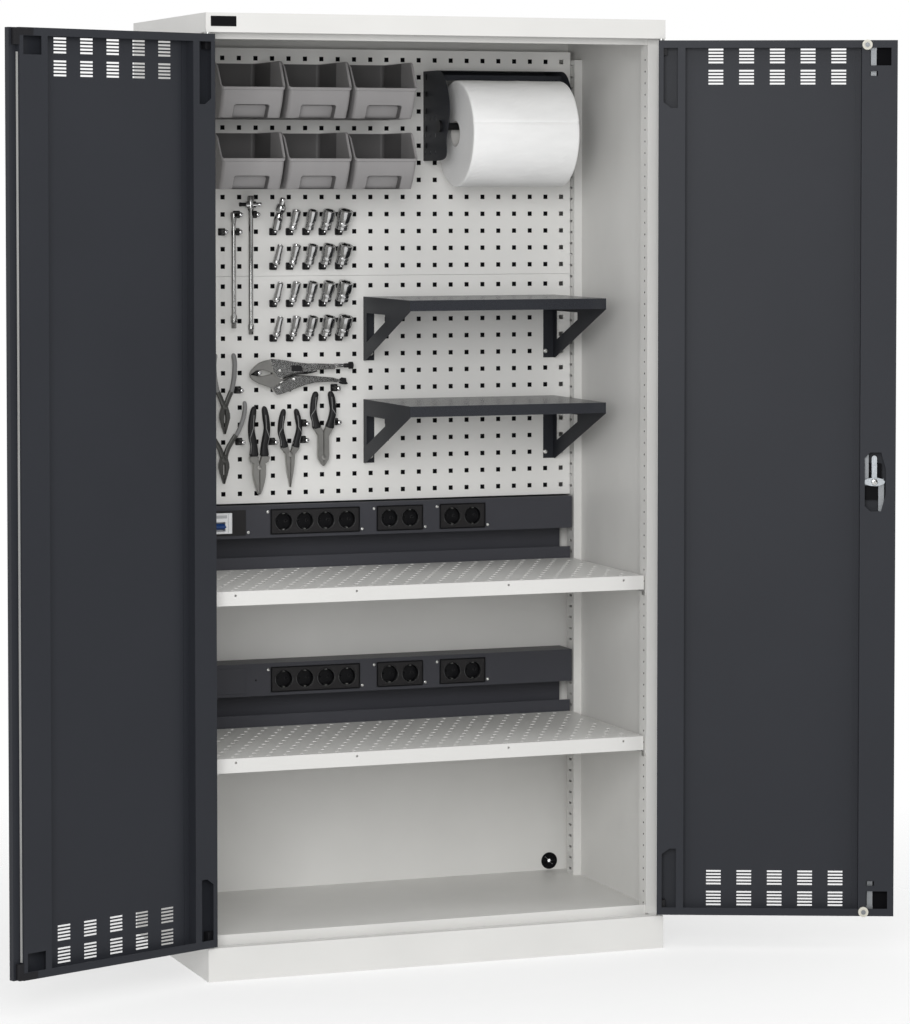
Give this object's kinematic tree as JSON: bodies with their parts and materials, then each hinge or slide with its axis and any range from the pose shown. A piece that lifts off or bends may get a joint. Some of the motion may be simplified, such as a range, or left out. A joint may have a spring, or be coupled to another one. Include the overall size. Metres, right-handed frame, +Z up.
{
  "type": "battery charging cabinet",
  "caption": "Tall steel tool cabinet with wide-open double doors, square-hole panels with bins and tools, perforated charging shelves, outlet channels and a three-point lock.",
  "frame": {"origin": "centre of the footprint on the floor, at the underside of the floor brace", "axes": "+X to the viewer's right, +Y towards the back panel, +Z up; doors stored open as pictured"},
  "size_m": [1.9474, 0.7536, 2],
  "materials": {
    "light_powder_coat": "fine textured satin",
    "grey_powder_coat": "satin",
    "zinc_steel": "zinc plated",
    "dark_powder_coat": "satin",
    "door_powder_coat": "fine textured satin",
    "black_plastic": "gloss",
    "white_plastic": "satin",
    "blue_plastic": "satin",
    "grey_plastic": "fine grained",
    "paper": "soft embossed tissue",
    "seal_rubber": "matt",
    "black_metal": "satin black",
    "chrome": "polished",
    "plier_grip": "moulded grips on steel jaws"
  },
  "bodies": {
    "cabinet": {"top_cap": "light_powder_coat", "header_rail": "light_powder_coat", "plinth": "light_powder_coat", "floor_brace": "light_powder_coat", "floor_panel": "light_powder_coat", "side_panel_left": "light_powder_coat", "side_panel_right": "light_powder_coat", "back_panel": "light_powder_coat", "rear_upright_left": "light_powder_coat", "rear_upright_right": "light_powder_coat", "shelf_upper": "light_powder_coat", "shelf_lower": "light_powder_coat", "peg_panel_upper": "grey_powder_coat", "peg_panel_lower": "grey_powder_coat", "shelf_clips": "zinc_steel", "hinge_pins": "zinc_steel", "roll_spindle": "zinc_steel", "cross_head_screws": "zinc_steel", "power_channel_upper": "dark_powder_coat", "power_channel_lower": "dark_powder_coat", "charger_tray_upper": "dark_powder_coat", "charger_tray_lower": "dark_powder_coat", "tool_shelf_upper": "door_powder_coat", "tool_shelf_lower": "door_powder_coat", "shelf_brackets_upper": "door_powder_coat", "shelf_brackets_lower": "door_powder_coat", "roll_holder": "door_powder_coat", "sockets_upper": "black_plastic", "sockets_lower": "black_plastic", "breaker_frame": "black_plastic", "cable_grommet": "black_plastic", "breaker_body": "white_plastic", "bins_upper_row": "grey_plastic", "bins_lower_row": "grey_plastic", "tool_hooks": "black_metal", "socket_bits": "chrome", "drive_bars": "chrome", "pliers": "plier_grip"},
    "door_left": {"door_skin_left": "door_powder_coat", "hinge_stile_left": "door_powder_coat", "free_stile_left": "door_powder_coat", "hinge_blocks_left": "zinc_steel", "corner_blocks_left": "black_plastic", "edge_seal_left": "seal_rubber"},
    "door_right": {"door_skin_right": "door_powder_coat", "hinge_stile_right": "door_powder_coat", "lock_stile_right": "door_powder_coat", "hinge_blocks_right": "zinc_steel", "lock_case": "black_plastic"},
    "lock": {"t_handle": "black_metal", "lock_cam": "zinc_steel"},
    "lock_cylinder": {"lock_cylinder": "chrome"},
    "upper_rod": {"upper_rod": "zinc_steel"},
    "lower_rod": {"lower_rod": "zinc_steel"},
    "roller_top": {"roller_top": "black_plastic"},
    "roller_bottom": {"roller_bottom": "black_plastic"},
    "breaker_toggle": {"breaker_toggle": "blue_plastic"},
    "test_button": {"test_button": "blue_plastic"},
    "paper_roll": {"paper_roll": "paper"}
  },
  "joints": [
    {"name": "door_left_hinge", "type": "hinge", "parent": "cabinet", "child": "door_left", "pos_m": [-0.5055, -0.2695, 1.015], "axis": [0, 0, 1], "range_deg": [0, 157.7]},
    {"name": "door_right_hinge", "type": "hinge", "parent": "cabinet", "child": "door_right", "pos_m": [0.5055, -0.2695, 1.015], "axis": [0, 0, 1], "range_deg": [-157.7, 0]},
    {"name": "lock_turn", "type": "hinge", "parent": "door_right", "child": "lock", "pos_m": [0.93228, -0.43589, 1.0115], "axis": [0.3795, 0.9252, 0], "range_deg": [0, 90]},
    {"name": "cylinder_turn", "type": "hinge", "parent": "lock", "child": "lock_cylinder", "pos_m": [0.93228, -0.43589, 1.0115], "axis": [0.3795, 0.9252, 0], "range_deg": [0, 90]},
    {"name": "upper_rod_slide", "type": "slide", "parent": "door_right", "child": "upper_rod", "axis": [0, 0, 1], "range_m": [0, 0.01001]},
    {"name": "lower_rod_slide", "type": "slide", "parent": "door_right", "child": "lower_rod", "axis": [0, 0, -1], "range_m": [0, 0.01001]},
    {"name": "roller_top_spin", "type": "hinge", "parent": "upper_rod", "child": "roller_top", "pos_m": [0.90277, -0.45513, 1.946], "axis": [-0.3795, -0.9252, 0], "continuous": true},
    {"name": "roller_bottom_spin", "type": "hinge", "parent": "lower_rod", "child": "roller_bottom", "pos_m": [0.90277, -0.45513, 0.084], "axis": [-0.3795, -0.9252, 0], "continuous": true},
    {"name": "roll_spin", "type": "hinge", "parent": "cabinet", "child": "paper_roll", "pos_m": [0.2942, 0.0935, 1.7602], "axis": [1, 0, 0], "continuous": true},
    {"name": "breaker_toggle_turn", "type": "hinge", "parent": "cabinet", "child": "breaker_toggle", "pos_m": [-0.345, 0.1925, 0.9], "axis": [1, 0, 0], "range_deg": [-20, 20]},
    {"name": "test_button_push", "type": "slide", "parent": "cabinet", "child": "test_button", "axis": [0, 1, 0], "range_m": [0, 0.0015], "stiffness_N_per_m": 200}
  ],
  "couplings": [
    {"joint": "upper_rod_slide", "follows": "lock_turn", "m_per_rad": 0.0063662},
    {"joint": "lower_rod_slide", "follows": "lock_turn", "m_per_rad": 0.0063662}
  ]
}
